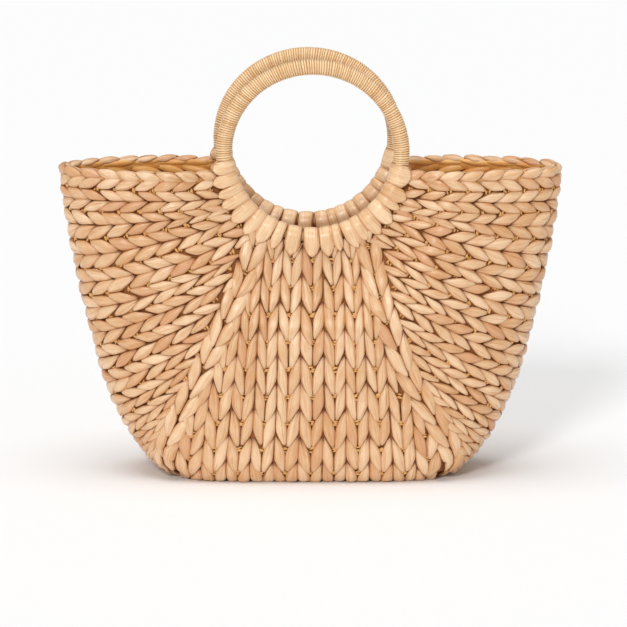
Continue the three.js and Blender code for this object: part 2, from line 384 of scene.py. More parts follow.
class EndRows(Rows):
    """Rows round an end: the way runs from -1 on the front to 1 on the back."""

    start = -1.0
    way_step = 0.016
    tuck = 9.0
    clear = WALL_EDGE - 5.0
    narrowest = 6.4
    notch = 0.12
    lift = (0.0, 0.25)

    def __init__(self, right):
        self.right = right
        self.chains = END_CHAINS[:, 3:] if right else END_CHAINS[:, :3]
        self.shares = np.array([turn_of(x, z) for _, x, z in self.chains])
        self.flip = -1 if right else 1

    def spots(self, line, way):
        numbers = np.arange(len(self.chains))
        end = np.interp(line, numbers, self.chains[:, 0])
        meet = np.interp(line, numbers, self.chains[:, 2])
        turn = -way * np.interp(line, numbers, self.shares)
        height = lerp(end, meet, np.abs(way) ** RISE_BEND)
        height = np.minimum(height, BODY_HEIGHT + 4)
        return at_turn(2 - turn if self.right else turn, height)


# %% [markdown]
# ## One strand
#
# Between two crossings a strand shows as a long leaf. It comes up from under the one before it at a narrow
# tip, swells, slants over to the line of the V and rounds off over the next hole. A twisted tube would be
# quicker to write, but lacks the straight edges and the puffed middle. So each leaf is a ring of points
# swept from tip to tip, with a lens for a section. The table gives its edges as shares of a row's width.

# %% The shape of a strand
LEAF = np.array([
    # along, outer edge, inner edge, height of the middle of the section, thickness above it
    (0.0, -0.40, -0.37, -3.6, 0.10),
    (0.06, -0.48, -0.27, -3.4, 0.75),
    (0.14, -0.50, -0.02, -3.1, 1.25),
    (0.23, -0.50, 0.16, -2.75, 1.65),
    (0.33, -0.50, 0.33, -2.4, 2.0),
    (0.43, -0.50, 0.45, -2.1, 2.25),
    (0.53, -0.49, 0.49, -1.9, 2.4),
    (0.63, -0.44, 0.50, -1.75, 2.4),
    (0.73, -0.29, 0.50, -1.65, 2.25),
    (0.82, -0.12, 0.50, -1.6, 1.8),
    (0.90, 0.04, 0.49, -1.65, 1.45),
    (0.96, 0.17, 0.45, -1.8, 0.95),
    (1.0, 0.29, 0.35, -2.1, 0.10),
])
RING = 12
INSIDE_RING = 6
UNDERSIDE = 0.55
FOLD_HEIGHT = 0.22
SQUEEZE = 5.0
NO_CORNER = -(10**9)
SEED = 20240
rng = np.random.default_rng(SEED)


def in_scene(name, data):
    thing = bpy.data.objects.new(name, data)
    bpy.context.scene.collection.objects.link(thing)
    return thing


def bag_piece(name, points, faces):
    """A smooth mesh from points in millimetres, riding on the root as all of the bag does."""
    mesh = bpy.data.meshes.new(name)
    mesh.from_pydata((points * MM).tolist(), [], faces)
    mesh.polygons.foreach_set("use_smooth", np.ones(len(mesh.polygons), bool))
    thing = in_scene(name, mesh)
    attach(thing, "root")
    return thing


def circle(corners):
    return np.arange(corners) * 2 * math.pi / corners


def squared_off(wave):
    return np.sign(wave) * np.abs(wave) ** 0.9


def station_numbers(stations, ring):
    """The station of each point of a form: a tip, rings of points, and a second tip."""
    return np.concatenate([[0], np.repeat(np.arange(1, stations + 1), ring), [stations + 1]])


def with_tips(values, stations):
    """Values round a ring for every station, with 0 for the tips."""
    return np.concatenate([[0], np.tile(values, stations), [0]])


def capped(rings, first, last):
    return np.concatenate([[first], rings.reshape(-1, 3), [last]])


def form_faces(forms, stations, ring):
    """Faces of closed forms, wound to look outward; a corner below 0 marks a triangle."""
    last = 1 + stations * ring
    rings = np.arange(1, last).reshape(stations, ring)
    after = np.roll(rings, -1, axis=1)
    sides = np.stack([rings[:-1], after[:-1], after[1:], rings[1:]], axis=-1).reshape(-1, 4)
    first_tip = [(b, a, 0, -1) for a, b in zip(rings[0], after[0])]
    last_tip = [(a, b, last, -1) for a, b in zip(rings[-1], after[-1])]
    faces = np.concatenate([sides, first_tip, last_tip])

    # the winding is turned over where a form is mirrored
    low = 1 + ring * (stations // 2)
    top = low + ring // 4
    edge_one = forms[:, top + 1] - forms[:, top]
    edge_two = forms[:, top + ring] - forms[:, top]
    bulge = forms[:, top] - forms[:, low : low + ring].mean(axis=1)
    if np.median(np.einsum("ij,ij->i", np.cross(edge_one, edge_two), bulge)) < 0:
        faces = np.where(faces[:, 3:] >= 0, faces[:, ::-1], faces[:, [1, 0, 2, 3]])
    offsets = np.arange(len(forms))[:, None, None] * forms.shape[1]
    return np.where(faces[None] >= 0, faces[None] + offsets, NO_CORNER).reshape(-1, 4)


class Weave:
    """Collects forms and makes one mesh of them, with what the straw's material needs."""

    def __init__(self, name):
        self.name = name
        self.parts = []
        self.count = 0
        self.leaves = 0

    def add(self, forms, stations, ring, strand, tint, painted_shade):
        """Forms of equal rings, with the place in the straw, tone and painted shade of their points."""
        each = np.ones(forms.shape[:2])
        tint = (tint * each).ravel()
        painted_shade = (painted_shade * each).ravel()
        faces = form_faces(forms, stations, ring) + self.count
        points = forms.reshape(-1, 3)
        # strands lie on the floor at slightly different heights, so that no flat undersides coincide
        points[:, 2] = np.maximum(points[:, 2], 0.05 + 0.3 * tint)
        self.parts.append((points, faces, strand.reshape(-1, 3), tint, painted_shade))
        self.count += len(points)
        self.leaves += len(forms)

    # painted_shade is how far each point is darkened towards warm and dark brown, painted in where shade
    # falls
    def make(self):
        points, faces, strand, tint, painted_shade = [np.concatenate(values) for values in zip(*self.parts)]
        corners = [[c for c in face if c >= 0] for face in faces.tolist()]
        thing = bag_piece(self.name, points, corners)
        mesh = thing.data
        for label, kind, key, values in (
            ("strand", "FLOAT_VECTOR", "vector", strand),
            ("tint", "FLOAT", "value", tint),
            ("painted_shade", "FLOAT", "value", painted_shade),
        ):
            attribute = mesh.attributes.new(label, kind, "POINT")
            attribute.data.foreach_set(key, values.astype(np.float32).ravel())
        mesh.validate()
        mesh.calc_loop_triangles()
        print(self.name, "has", self.leaves, "strands,", len(mesh.loop_triangles), "triangles")
        return thing


def hoop_away(spots):
    """How far spots are from the middle of the hoop on their side, its slight oval taken out."""
    side = np.where(spots[..., 1] < 0, FRONT, BACK)
    across = (spots[..., 0] + side * HOOP_STAGGER) / HOOP_OVALITY
    return np.hypot(across, HOOP_HEIGHT - spots[..., 2])


def clear_of_hoop(spots):
    """Spots squeezed out of the dip in the wall, straight away from the middle of its hoop."""
    away = hoop_away(spots)
    squeezed = WALL_EDGE + SQUEEZE * np.exp(np.minimum(away - WALL_EDGE - SQUEEZE, 0) / SQUEEZE)
    farther = np.where(away < WALL_EDGE + SQUEEZE, squeezed, away) / np.maximum(away, 1e-6)
    middle_x = np.where(spots[..., 1] < 0, HOOP_STAGGER, -HOOP_STAGGER)
    moved = spots.copy()
    moved[..., 0] = middle_x + (spots[..., 0] - middle_x) * farther
    moved[..., 2] = HOOP_HEIGHT - (HOOP_HEIGHT - spots[..., 2]) * farther
    return moved


START_CHANCE = 0.04
LENGTH_CHANCE = 0.03
WIDTH_CHANCE = 0.03
SHIFT_CHANCE = 0.022
SLANT_CHANCE = 0.05
HEIGHT_CHANCE = 0.22
ROLL_CHANCE = 0.38
PUFF_CHANCE = 0.09


def twine(weave, rows, line, half, pitch, keep=None, inside=False):
    """One row of strands: half -1 or 1 says on which side of its line of V shapes it lies."""
    course = rows.course(line, half)
    total = course[1]
    count = max(1, int(round(total / pitch)))
    step = total / count
    leaves = count + 3
    first = np.arange(-2, count + 1) * step - step * (rows.overlap - 1)
    first = first + rng.normal(0, START_CHANCE, leaves) * step
    size = step * rows.overlap * (1 + rng.normal(0, LENGTH_CHANCE, leaves))
    table = LEAF[::2] if inside else LEAF
    ring = INSIDE_RING if inside else RING
    stations = len(table) - 2
    rise = np.sin(circle(ring))
    lens = with_tips(np.where(rise >= 0, np.abs(rise) ** 0.85, -UNDERSIDE * np.abs(rise)), stations)
    crown = with_tips(squared_off(np.cos(circle(ring))), stations)
    t, outer_edge, inner_edge, middle_height, thickness = table[station_numbers(stations, ring)].T
    # the inner edge is cut back where a strand comes up, which opens the hole in the point of the V
    inner_edge = inner_edge - rows.notch * np.interp(t, [0.06, 0.2, 0.4, 0.55], [0, 1, 1, 0])
    middle = (outer_edge + inner_edge) / 2
    wide = (inner_edge - outer_edge) / 2

    def chance(size_of_it):
        return rng.normal(0, size_of_it, leaves)[:, None]

    across = middle + wide * crown * (rows.fullness + chance(WIDTH_CHANCE))
    across = across + chance(SHIFT_CHANCE) + chance(SLANT_CHANCE) * (t - 0.5)
    height = middle_height + rows.lift[half > 0] + chance(HEIGHT_CHANCE) + chance(ROLL_CHANCE) * crown
    height = height + thickness * lens * rows.puff * (1 + chance(PUFF_CHANCE))
    folds = np.cos(crown * (2.2 + np.abs(chance(1.2))) + chance(2.0) + (t - 0.5) * chance(1.2))
    height = height + folds * FOLD_HEIGHT * np.maximum(lens, 0) * thickness / 2.2
    reach = first[:, None] + t * size[:, None]

    spot, normal, inner, width = at_length(course, reach)
    sideways = width[..., 0] * across
    out = -WALL - height if inside else height
    if rows.curl:
        bend = sideways / rows.curl
        sideways = (rows.curl + out) * np.sin(bend)
        out = (rows.curl + out) * np.cos(bend) - rows.curl
    placed = spot + inner * sideways[..., None] + normal * out[..., None]

    centres = at_length(course, first + size * 0.55)[0]
    halfway = first + size * 0.5
    kept = (hoop_away(centres) > rows.clear) & (halfway > -rows.tuck) & (halfway < total + rows.tuck)
    if keep is not None:
        kept &= keep(centres)
    if not kept.any():
        return
    placed = clear_of_hoop(placed[kept])
    made = len(placed)
    grain = rng.uniform(0, 900, made)[:, None] + 0 * t
    strand = np.stack([crown * 4.5 + 0 * grain, (t * size[:, None])[kept], grain], axis=-1)
    # painted shade: a strand darkens along its sides, at its tucked tip, a little at its far end, and on
    # its underside
    sides = np.abs(crown) ** 3.2 * 0.62
    ends = np.maximum(1 - t / 0.3, 0) ** 1.6 + np.maximum((t - 0.9) / 0.1, 0) ** 2 * 0.5
    under = np.where(lens < -0.05, 0.6, 0)
    painted_shade = np.clip(np.maximum(np.maximum(sides, ends), under), 0, 1)
    weave.add(placed, stations, ring, strand, rng.uniform(0, 1, made)[:, None], painted_shade)


# %% [markdown]
# ## The middle of the basket
#
# Eleven chains run down the front and the back and meet under the base. A chain starts where it comes out
# from under the seam and ends a little past the middle of the base. The seams lie almost a millimetre
# higher, as the real ones do, and hide where the others end.

# %% Middle rows and seams
def seam_line(spots, share):
    """The lines of the two seams, and a share of a row beside them where there is a seam."""
    height = spots[..., 2]
    left = np.interp(height, SEAM_HEIGHTS, SEAM_LEFT)
    right = np.interp(height, SEAM_HEIGHTS, SEAM_RIGHT)
    return left, right, SEAM_ROW * share * ease(height, 0.0, 2 * SEAM_FOOT)


def between_seams(spots):
    left, right, beside = seam_line(spots, 0.75)
    return (spots[..., 0] > left + beside) & (spots[..., 0] < right - beside)


def outside_seams(spots):
    left, right, beside = seam_line(spots, 0.7)
    return (spots[..., 0] < left - beside) | (spots[..., 0] > right + beside)


MIDDLE_PITCH = 22.8
SEAM_PITCH = 23.0
END_PITCH_TOP = 17.0
END_PITCH_LOW = 19.5
INSIDE_STRETCH = 1.4


def weave_middle(name, side, inside=False):
    weave = Weave(name)
    rows = MiddleRows(side)
    for chain in range(1, len(MIDDLE_LINES) - 1):
        for half in (-1, 1):
            twine(weave, rows, chain, half, MIDDLE_PITCH, between_seams, inside)
    for right in (False, True):
        seam = SeamRows(side, right)
        for half in (-1, 1):
            twine(weave, seam, 0, half, SEAM_PITCH, None, inside)
    return weave.make()


middle_front = weave_middle("middle_rows_front", FRONT)
middle_back = weave_middle("middle_rows_back", BACK)

# %% [markdown]
# ## The ends of the basket
#
# The rows round an end go on from the front wall to the back wall without a break, as a weaver works
# them. Their strands get longer from the rim down.

# %% End rows
def end_pitch(chain):
    return lerp(END_PITCH_TOP, END_PITCH_LOW, ease(chain, 0.0, 6.0))


def weave_end(name, right, inside=False):
    weave = Weave(name)
    rows = EndRows(right)
    stretch = INSIDE_STRETCH if inside else 1
    for chain in range(1, len(rows.chains) - 1):
        for half in (-1, 1):
            twine(weave, rows, chain, half, end_pitch(chain) * stretch, outside_seams, inside)
    return weave.make()


end_left = weave_end("end_rows_left", False)
end_right = weave_end("end_rows_right", True)

# %% [markdown]
# ## The stakes in the holes
#
# At the point of each V the strands leave a small hole, in which bits of the stakes show, golden against
# the dark. They could be long rods, but only bits show, so three short grains lie across each hole.

# %% Stakes
GRAIN_RING = 6
GRAIN_TABLE = np.array([(0.0, 0.0), (0.22, 0.8), (0.5, 1.0), (0.78, 0.8), (1.0, 0.0)])


def lay_stakes(rows, line, pitch, keep):
    course = rows.course(line, 0)
    count = max(1, int(round(course[1] / pitch)))
    holes = np.repeat(np.arange(0, count + 1) * (course[1] / count), 3)
    number = len(holes)

    def chance(size_of_it):
        return rng.normal(0, size_of_it, number)[:, None]

    reach = holes + np.tile([-0.6, 1.0, 2.6], count + 1) + chance(0.45)[:, 0]
    stations = len(GRAIN_TABLE) - 2
    along, thick = GRAIN_TABLE[station_numbers(stations, GRAIN_RING)].T
    angle = with_tips(circle(GRAIN_RING), stations)
    long = rng.uniform(3.6, 6.4, number)[:, None]
    beside = (along - 0.5) * long + chance(0.7)
    slant = chance(0.22)
    size = rng.uniform(0.75, 1.15, number)[:, None]
    forward = thick * np.cos(angle) * size + beside * slant
    height = -2.1 + chance(0.3) + thick * np.sin(angle) * size
    spot, normal, inner, _ = at_length(course, reach[:, None])
    ahead = np.cross(inner, normal)
    placed = spot + inner * beside[..., None] + ahead * forward[..., None] + normal * height[..., None]
    centres = spot[:, 0]
    kept = keep(centres) & (hoop_away(centres) > WALL_EDGE + 6)
    if kept.any():
        placed = placed[kept]
        tint = rng.uniform(0, 1, len(placed))[:, None]
        # painted shade towards the ends of each grain
        stakes.add(placed, stations, GRAIN_RING, placed, tint, (1 - thick) * 0.5)


stakes = Weave("stakes")
for side in (FRONT, BACK):
    for chain in range(1, len(MIDDLE_LINES) - 1):
        lay_stakes(MiddleRows(side), chain, MIDDLE_PITCH, between_seams)
    for right in (False, True):
        lay_stakes(SeamRows(side, right), 0, SEAM_PITCH, lambda spots: spots[..., 2] > 2)
for right in (False, True):
    for chain in range(1, len(END_CHAINS) - 1):
        lay_stakes(EndRows(right), chain, end_pitch(chain), outside_seams)
stakes = stakes.make()

# %% [markdown]
# ## The inside of the wall
#
# The same rows show on the inside, darker and flatter. They are seen only through the mouth, so they have
# fewer points, and longer strands on the ends. A thin shell lies between the two layers, where the stakes
# of the real basket run, and closes the small holes.

# %% Inside rows
inside_pieces = [
    weave_middle("inside_middle_front", FRONT, True),
    weave_middle("inside_middle_back", BACK, True),
    weave_end("inside_left", False, True),
    weave_end("inside_right", True, True),
]


# %% The shell of stakes
CORE_OUTER = 3.6
CORE_INNER = 5.0
CORE_COLUMNS = 180
CORE_LEVELS = 36
LOWEST_TOP = 150.0
HALVINGS = 24
EDGE_PLAY = 0.1


def core_top(turn):
    """The height at which the wall ends: the rim, or the dip of a hoop."""
    low, high = LOWEST_TOP, BODY_HEIGHT
    if hoop_away(at_turn(turn, high)) > WALL_EDGE - EDGE_PLAY:
        return high
    for _ in range(HALVINGS):
        half_way = (low + high) / 2
        if hoop_away(at_turn(turn, half_way)) > WALL_EDGE - EDGE_PLAY:
            low = half_way
        else:
            high = half_way
    return low


def core_side(inset):
    turn = np.arange(CORE_COLUMNS) * 4 / CORE_COLUMNS
    tops = np.array([core_top(share) for share in turn])
    rise = np.linspace(0, 1, CORE_LEVELS)[:, None] ** 1.1
    z = rise * tops
    turns = turn + 0 * z
    spot = at_turn(turns, z)
    ahead = at_turn(turns + 0.012, z) - at_turn(turns - 0.012, z)
    up = at_turn(turns, np.minimum(z + 1.5, BODY_HEIGHT)) - at_turn(turns, np.maximum(z - 1.5, 0))
    spot = spot - unit(np.cross(ahead, up)) * inset
    spot[0, :, 2] = inset
    return spot.reshape(-1, 3)


middles = [[0, 0, CORE_OUTER], [0, 0, CORE_INNER]]
shell_points = np.concatenate([core_side(CORE_OUTER), core_side(CORE_INNER), middles])
outer = np.arange(CORE_LEVELS * CORE_COLUMNS).reshape(CORE_LEVELS, CORE_COLUMNS)
after = np.roll(outer, -1, axis=1)
size = outer.size
outer_wall = np.stack([outer[:-1], after[:-1], after[1:], outer[1:]], axis=-1).reshape(-1, 4)
inner_wall = outer_wall[:, [1, 0, 3, 2]] + size
top_edge = np.stack([outer[-1], after[-1], after[-1] + size, outer[-1] + size], axis=-1)
shell_faces = np.concatenate([outer_wall, inner_wall, top_edge]).tolist()
for a, b in zip(outer[0].tolist(), after[0].tolist()):
    shell_faces += [(b, a, 2 * size), (a + size, b + size, 2 * size + 1)]
core = bag_piece("stake_shell", shell_points, shell_faces)
print("the shell of stakes has", len(shell_faces), "faces")

# %% [markdown]
# ## The braided edge of the mouth
#
# On each end a rope runs from hoop to hoop on top of the wall. Its outer face is the lower half of a
# braid, whose upper half covers the top, and longer strands line its inner side, all bent round the rope.
# A plain two-strand twist would slant its strands evenly, while these lie flatter and
# swell between their tips. A thin tube fills the rope behind them.

# %% Rim ropes
ROPE_WIDTH = 10.0
ROPE_HEIGHT = 9.4
ROPE_RADIUS = 4.75
ROPE_RISE = BODY_HEIGHT + 0.3 + ROPE_HEIGHT / 2


class RimRows(Rows):
    """One face of the rope along the mouth; tilt is how many degrees it faces up."""

    start = -1.0
    curl = ROPE_RADIUS
    clear = SIDE_TIP - 8.0
    tuck = 4.0
    overlap = 1.45
    lift = (0.5, 0.5)

    def __init__(self, right, inner_face, tilt, width, puff):
        self.puff = puff
        self.right = right
        self.inner_face = inner_face
        self.tilt = math.radians(tilt)
        self.width = width
        self.share = turn_of(SIDE_TIP * HOOP_OVALITY * 0.91, BODY_HEIGHT)

    def heart(self, way):
        """The middle of the rope and the level direction out of the bag."""
        turn = -way * self.share
        turn = 2 - turn if self.right else turn
        level = np.full(np.shape(way), BODY_HEIGHT)
        spot = at_turn(turn, level)
        ahead = unit(at_turn(turn + 0.02, level) - at_turn(turn - 0.02, level))
        outward = np.stack([ahead[:, 1], -ahead[:, 0], 0 * ahead[:, 0]], axis=-1)
        spot = spot - outward * ROPE_WIDTH / 2
        spot[:, 2] = ROPE_RISE
        return spot, outward

    def course(self, line, half, steps=500):
        way = np.linspace(-1.12, 1.12, steps)
        spot, outward = self.heart(way)
        face = -outward if self.inner_face else outward
        normal = face * math.cos(self.tilt) + np.array([0, 0, math.sin(self.tilt)])
        up = np.array([0, 0, math.cos(self.tilt)]) - face * math.sin(self.tilt)
        length, total, values = self.measured(way, spot, normal, up, np.full(steps, self.width))
        values[:, :3] += normal * ROPE_RADIUS
        return length, total, values


class LiningRows(RimRows):
    overlap = 1.6
    lift = (0.2, 0.2)


def rope(name, right):
    weave = Weave(name)
    twine(weave, RimRows(right, False, 16, 12.4, 1.15), 0, -1, END_PITCH_TOP)
    twine(weave, RimRows(right, True, 46, 8.2, 0.8), 0, -1, END_PITCH_TOP)
    return weave.make()


TUBE_RING = 8


def rope_lining(name, right):
    """The strands on the inner side of the rope, and the tube in it."""
    weave = Weave(name)
    rim = LiningRows(right, True, -16, 9.0, 0.6)
    twine(weave, rim, 0, -1, END_PITCH_TOP * INSIDE_STRETCH)
    spot, outward = rim.heart(np.linspace(-1.0, 1.0, 160))
    ring = circle(TUBE_RING)[None, :, None]
    upward = np.array([0, 0, 1.0]) * (5.2 * np.sin(ring) - 2.2)
    points = capped(spot[:, None] + outward[:, None] * 3.0 * np.cos(ring) + upward, spot[0], spot[-1])[None]
    # the tube takes a middling tone and some painted shade all over
    weave.add(points, len(spot), TUBE_RING, points * 0.3, 0.5, 0.4)
    return weave.make()


twist_left = rope("rim_twist_left", False)
twist_right = rope("rim_twist_right", True)
lining_left = rope_lining("rim_lining_left", False)
lining_right = rope_lining("rim_lining_right", True)

# %% [markdown]
# ## The cord on the hoops
#
# The free upper part of each hoop is wound with fine cord, one turn beside the next. A single tube follows
# the hoop, and its radius rises and falls once for each turn, as a helix round the rod. Separate rings
# would look the same from afar, but a helix also reads right where the light grazes it.

# %% Windings
CORD_PITCH = 1.98
CORD_RADIUS = 6.8
CORD_GROOVE = 0.8
CORD_RING = 22
CORD_STEPS = 6
CORD_START = 171.8
CORD_END = 365.7
OVAL_STRETCH = 1.018


def hoop_spot(side, turn, away, out):
    """Spots by turn from the left end down round the foot, distance from the middle, and outwards."""
    x = -side * HOOP_STAGGER - HOOP_OVALITY * away * np.cos(turn)
    y = side * (HOOP_PLANE + out) + 0 * x
    z = HOOP_HEIGHT - away * np.sin(turn)
    return np.stack([x, y, z], axis=-1)


def wind(name, side):
    weave = Weave(name)
    span = math.radians(CORD_END - CORD_START)
    turns = int(span * HOOP_RADIUS * OVAL_STRETCH / CORD_PITCH)
    steps = turns * CORD_STEPS
    share = np.linspace(0, 1, steps + 1)
    turn = math.radians(CORD_START) + span * share
    ring = circle(CORD_RING)
    numbers = np.arange(turns + 2)
    uneven = np.interp(share * turns, numbers, np.cumsum(rng.normal(0, 0.09, turns + 2)))
    slack = np.interp(share * turns, numbers, rng.normal(0, 0.09, turns + 2))
    phase = share[:, None] * turns + uneven[:, None] + ring / (2 * math.pi)
    wave = np.abs(np.sin(phase * math.pi))
    radius = CORD_RADIUS - CORD_GROOVE * (1 - wave**0.7) + slack[:, None] * wave
    radius = np.minimum(radius, CORD_RADIUS + 0.1)
    radius[[0, -1]] *= 0.9
    away = HOOP_RADIUS + radius * np.cos(ring)
    body = hoop_spot(side, turn[:, None] + 0 * away, away, radius * np.sin(ring))
    first, last = hoop_spot(side, turn[[0, -1]], HOOP_RADIUS, 0.0)
    points = capped(body, first, last)
    number = np.floor(phase).astype(int)
    tints = rng.uniform(0, 1, turns + 40)
    tint = np.concatenate([[0.5], tints[number.ravel() % len(tints)], [0.5]])
    # painted shade in the grooves between turns, and full at the two ends
    painted_shade = np.concatenate([[1], (1 - wave).ravel() ** 1.4, [1]])
    around = np.broadcast_to(ring * CORD_RADIUS, phase.shape)
    strand = np.stack([(phase % 1) * CORD_PITCH, around, number * 3.7], axis=-1)
    strand = capped(strand, strand[0, 0], strand[-1, -1])
    weave.add(points[None], steps + 1, CORD_RING, strand, tint, painted_shade)
    return weave.make()


cord_front = wind("cord_front", FRONT)
cord_back = wind("cord_back", BACK)

# %% [markdown]
# ## The straps that bind the hoops on
#
# Nineteen wide straws go over each rod and down both faces of the wall. Their places and widths are the
# CAD part's, in degrees round the hoop from its left end. Each is one section swept from the tail on one
# face round the rod to the tail on the other. A flat ribbon would have sharp edges, so the section is a
# lens with full sides, as pressed straw has.

# %% Straps
WRAPS = np.array([
    # place, width in degrees, share of the longest tail
    (10, 8, 0.45),
    (18.6, 8, 0.7),
    (26, 6.4, 0.72),
    (33.5, 7.8, 0.85),
    (42.3, 9, 0.95),
    (51, 7.8, 1.0),
    (59.7, 8.4, 1.0),
    (68.4, 6, 0.95),
    (77.4, 8.6, 1.0),
    (88.7, 8.6, 1.0),
    (99, 8, 1.0),
    (106, 5.6, 0.8),
    (113.2, 7.4, 1.0),
    (120.6, 6.6, 0.8),
    (128.8, 8, 0.95),
    (137.8, 9, 0.9),
    (145.4, 5.6, 0.7),
    (153, 8.6, 0.72),
    (165, 13, 0.45),
])
WRAP_TAIL = 12.0
WRAP_MIDDLE = 6.3
WRAP_HALF = 1.7
WRAP_RING = 14
WRAP_SPREAD = 1.19
TAIL_ALONG = [0.0, 0.3, 0.5, 0.7, 0.85, 0.95, 1.0]
TAIL_WIDTH = [1.0, 1.03, 0.95, 0.75, 0.48, 0.24, 0.08]


def strap(name, side, place, width, tail):
    weave = Weave(name)
    tip = WALL_EDGE + tail * WRAP_TAIL
    down = np.linspace(1, 0, 16)[:-1]
    over = np.linspace(-math.pi / 2, math.pi / 2, 19)
    edge = HOOP_RADIUS + 2.0
    leg = edge + (tip - edge) * down
    over_rod = HOOP_RADIUS - WRAP_MIDDLE * np.cos(over) + 2.0 * np.sin(over) ** 2
    away = np.concatenate([leg, over_rod, leg[::-1]])
    leg_out = lerp(WALL / 2 + 0.35, WRAP_MIDDLE - 0.15, ease(1 - down, 0.0, 1.0))
    out = np.concatenate([leg_out, -WRAP_MIDDLE * np.sin(over), -leg_out[::-1]])
    along_tail = np.concatenate([down, 0 * over, down[::-1]])
    steps = len(away)
    half_width = math.radians(width) * HOOP_RADIUS / 2 * WRAP_SPREAD
    length = length_along(np.stack([away, out], axis=1))
    ahead = np.stack([np.gradient(away, length), np.gradient(out, length)])
    ahead_away, ahead_out = ahead / np.linalg.norm(ahead, axis=0)
    ring = circle(WRAP_RING)
    flat = squared_off(np.cos(ring))
    thick = np.where(np.sin(ring) > 0, 1.15, 0.75) * np.sin(ring)
    swell = WRAP_HALF * (1 + rng.normal(0, 0.06)) * (1 - np.maximum(along_tail - 0.85, 0) * 3)
    lean = rng.normal(0, 0.05)
    bow = rng.normal(0, 0.25)
    sideways = flat * half_width * np.interp(along_tail, TAIL_ALONG, TAIL_WIDTH)[:, None]
    sideways = sideways + (lean * (length - length.mean()) + bow * along_tail)[:, None]
    off = swell[:, None] * thick + rng.normal(0, 0.06) * flat * half_width * 0.3
    # the section stands across the path, in the plane through the middle of the hoop
    ring_away = away[:, None] + ahead_out[:, None] * off
    ring_out = out[:, None] - ahead_away[:, None] * off
    fan = np.interp(ring_away, [60, 72.5, 92], [1.15, 1.0, 0.86])
    body = hoop_spot(side, math.radians(place) + sideways / HOOP_RADIUS * fan, ring_away, ring_out)
    points = capped(body, body[0].mean(axis=0), body[-1].mean(axis=0))
    grain = np.full(sideways.shape, rng.uniform(0, 900))
    strand = np.stack([sideways, length[:, None] + 0 * sideways, grain], axis=-1)
    strand = capped(strand, strand[0, 0], strand[-1, -1])
    tint = rng.uniform(0.1, 1.0)
    # painted shade along the strap's edges and towards its tail tips, and full at its two ends
    painted_shade = np.abs(flat) ** 4 * 0.95 + np.clip((along_tail - 0.8) * 3, 0, 0.7)[:, None]
    painted_shade = np.clip(np.concatenate([[1], painted_shade.ravel(), [1]]), 0, 1)
    weave.add(points[None], steps, WRAP_RING, strand, tint, painted_shade)
    return weave.make()


straps = []
for side, label in ((FRONT, "front"), (BACK, "back")):
    for number, row in enumerate(WRAPS, start=1):
        thing = strap(f"strap_{label}_{number:02d}", side, *row)
        straps.append((thing, f"wrap_{label}_{number:02d}"))

# %% [markdown]
# ## Materials
#
# Straw is a pale satin skin with fine fibres along it. Each strand has its own tone, and a few are pinkish.
# Where a strand tucks under another, along its sides, in creases and in grooves, shade is painted in as
# warm brown and then dark brown.
# All of it comes from three values that the meshes carry: the place across and along the strand, its tone,
# and how much painted shade a spot gets.
# Sums read better as sums than as linked nodes, so a small class stands for a socket and builds the node
# for an operator.

# %% A small class for sockets
class Wire:
    """A socket of a node tree that can be added, multiplied and mixed."""

    def __init__(self, tree, socket):
        self.tree = tree
        self.socket = socket

    def made(self, kind, output=0, settings=None, **values):
        """An output of a new node: its type, its settings, and values or wires for its sockets."""
        node = self.tree.nodes.new(kind)
        for key, value in (settings or {}).items():
            setattr(node, key, value)
        for key, value in values.items():
            socket = node.inputs[int(key[1:]) if key[1:].isdigit() else key]
            if isinstance(value, Wire):
                self.tree.links.new(value.socket, socket)
            else:
                socket.default_value = value
        return Wire(self.tree, node.outputs[output])

    def math(self, operation, first, second, clamp=False):
        settings = {"operation": operation, "use_clamp": clamp}
        return self.made("ShaderNodeMath", 0, settings, i0=first, i1=second)

    def __add__(self, other):
        return self.math("ADD", self, other)

    def __mul__(self, other):
        return self.math("MULTIPLY", self, other)

    def __sub__(self, other):
        return self.math("SUBTRACT", self, other)

    def __rsub__(self, other):
        return self.math("SUBTRACT", other, self)

    __radd__ = __add__
    __rmul__ = __mul__

    def clamped(self):
        return self.math("ADD", self, 0.0, clamp=True)

    def mix(self, low, high):
        """A colour between two, by this wire as the share."""
        return self.made("ShaderNodeMix", 2, {"data_type": "RGBA"}, i0=self, i6=low, i7=high)

    def scaled(self, x, y, z):
        return self.made("ShaderNodeVectorMath", 0, {"operation": "MULTIPLY"}, i0=self, i1=(x, y, z))

    def noise(self, scale, detail, roughness):
        return self.made("ShaderNodeTexNoise", Vector=self, Scale=scale, Detail=detail, Roughness=roughness)

    def attribute(self, name, output):
        return self.made("ShaderNodeAttribute", output, {"attribute_name": name})

    def drive(self, socket):
        self.tree.links.new(self.socket, socket)


def tone(red, green, blue):
    """A colour as it looks on a screen, from 0 to 255, as the linear colour that a shader needs."""
    def linear(value):
        value = value / 255
        return value / 12.92 if value <= 0.04045 else ((value + 0.055) / 1.055) ** 2.4

    return (linear(red), linear(green), linear(blue), 1.0)


def shader_of(name):
    """A new material, with a wire to start from and its shader's sockets."""
    material = bpy.data.materials.new(name)
    material.use_nodes = True
    shader = material.node_tree.nodes["Principled BSDF"]
    return material, Wire(material.node_tree, None), shader.inputs


